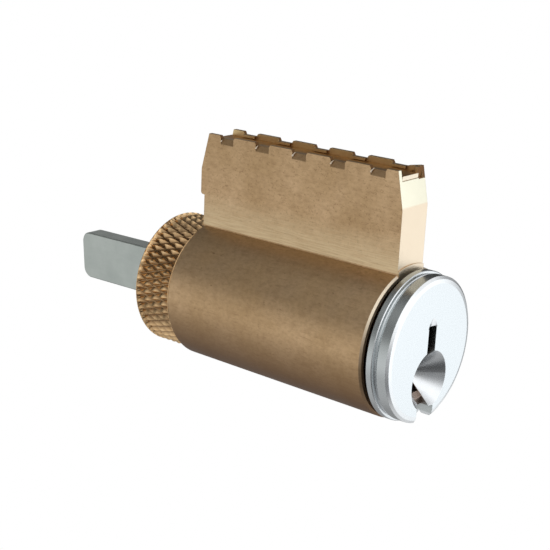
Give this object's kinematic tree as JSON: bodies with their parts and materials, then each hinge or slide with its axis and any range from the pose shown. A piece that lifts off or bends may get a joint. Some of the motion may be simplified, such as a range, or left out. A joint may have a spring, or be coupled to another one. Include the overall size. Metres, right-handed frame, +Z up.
{
  "type": "keyed lock cylinder",
  "caption": "Pin-tumbler lock cylinder with a round barrel, flat pin housing, turning keyed plug, knurled rear cap and flat tailpiece.",
  "frame": {"origin": "on the plug's axis, in the plane of the shell's front end", "axes": "+Y back along the plug's axis to the tailpiece, +Z up through the pin housing, +X right as seen from the key side"},
  "size_m": [0.017, 0.0541, 0.0278],
  "materials": {
    "shell_brass": "satin",
    "cover_brass": "satin",
    "plug_chrome": "satin",
    "cap_brass": "satin",
    "tail_steel": "brushed",
    "pin_brass": "polished",
    "driver_steel": "polished",
    "spring_steel": "polished"
  },
  "bodies": {
    "shell": {"shell": "shell_brass", "chamber_cover": "cover_brass", "pin_spring_1": "spring_steel", "pin_spring_2": "spring_steel", "pin_spring_3": "spring_steel", "pin_spring_4": "spring_steel", "pin_spring_5": "spring_steel", "pin_spring_6": "spring_steel"},
    "plug": {"plug": "plug_chrome", "plug_cap": "cap_brass", "cap_pin_spring": "spring_steel"},
    "tailpiece": {"tailpiece": "tail_steel"},
    "cap_pin": {"cap_pin": "pin_brass"},
    "bottom_pin_1": {"bottom_pin_1": "pin_brass"},
    "driver_pin_1": {"driver_pin_1": "driver_steel"},
    "bottom_pin_2": {"bottom_pin_2": "pin_brass"},
    "driver_pin_2": {"driver_pin_2": "driver_steel"},
    "bottom_pin_3": {"bottom_pin_3": "pin_brass"},
    "driver_pin_3": {"driver_pin_3": "driver_steel"},
    "bottom_pin_4": {"bottom_pin_4": "pin_brass"},
    "driver_pin_4": {"driver_pin_4": "driver_steel"},
    "bottom_pin_5": {"bottom_pin_5": "pin_brass"},
    "driver_pin_5": {"driver_pin_5": "driver_steel"},
    "bottom_pin_6": {"bottom_pin_6": "pin_brass"},
    "driver_pin_6": {"driver_pin_6": "driver_steel"}
  },
  "joints": [
    {"name": "plug_turn", "type": "hinge", "parent": "shell", "child": "plug", "pos_m": [0, 0, 0], "axis": [0, 1, 0], "continuous": true},
    {"name": "tailpiece_play", "type": "hinge", "parent": "plug", "child": "tailpiece", "pos_m": [0, 0.03362, 0], "axis": [0, 1, 0], "range_deg": [-4, 4]},
    {"name": "cap_pin_press", "type": "slide", "parent": "plug", "child": "cap_pin", "axis": [0, 0, 1], "range_m": [-0.0005, 0], "stiffness_N_per_m": 300, "springref_m": 0.0006, "deforming": ["cap_pin_spring"]},
    {"name": "bottom_pin_1_drop", "type": "slide", "parent": "plug", "child": "bottom_pin_1", "axis": [0, 0, 1], "range_m": [-0.0027, 0]},
    {"name": "driver_pin_1_lift", "type": "slide", "parent": "shell", "child": "driver_pin_1", "axis": [0, 0, 1], "range_m": [0, 0.0025], "stiffness_N_per_m": 60, "springref_m": -0.003, "deforming": ["pin_spring_1"]},
    {"name": "bottom_pin_2_drop", "type": "slide", "parent": "plug", "child": "bottom_pin_2", "axis": [0, 0, 1], "range_m": [-0.00155, 0]},
    {"name": "driver_pin_2_lift", "type": "slide", "parent": "shell", "child": "driver_pin_2", "axis": [0, 0, 1], "range_m": [0, 0.0025], "stiffness_N_per_m": 60, "springref_m": -0.003, "deforming": ["pin_spring_2"]},
    {"name": "bottom_pin_3_drop", "type": "slide", "parent": "plug", "child": "bottom_pin_3", "axis": [0, 0, 1], "range_m": [-0.00325, 0]},
    {"name": "driver_pin_3_lift", "type": "slide", "parent": "shell", "child": "driver_pin_3", "axis": [0, 0, 1], "range_m": [0, 0.0025], "stiffness_N_per_m": 60, "springref_m": -0.003, "deforming": ["pin_spring_3"]},
    {"name": "bottom_pin_4_drop", "type": "slide", "parent": "plug", "child": "bottom_pin_4", "axis": [0, 0, 1], "range_m": [-0.0008, 0]},
    {"name": "driver_pin_4_lift", "type": "slide", "parent": "shell", "child": "driver_pin_4", "axis": [0, 0, 1], "range_m": [0, 0.0025], "stiffness_N_per_m": 60, "springref_m": -0.003, "deforming": ["pin_spring_4"]},
    {"name": "bottom_pin_5_drop", "type": "slide", "parent": "plug", "child": "bottom_pin_5", "axis": [0, 0, 1], "range_m": [-0.00205, 0]},
    {"name": "driver_pin_5_lift", "type": "slide", "parent": "shell", "child": "driver_pin_5", "axis": [0, 0, 1], "range_m": [0, 0.0025], "stiffness_N_per_m": 60, "springref_m": -0.003, "deforming": ["pin_spring_5"]},
    {"name": "bottom_pin_6_drop", "type": "slide", "parent": "plug", "child": "bottom_pin_6", "axis": [0, 0, 1], "range_m": [-0.00115, 0]},
    {"name": "driver_pin_6_lift", "type": "slide", "parent": "shell", "child": "driver_pin_6", "axis": [0, 0, 1], "range_m": [0, 0.0025], "stiffness_N_per_m": 60, "springref_m": -0.003, "deforming": ["pin_spring_6"]}
  ]
}
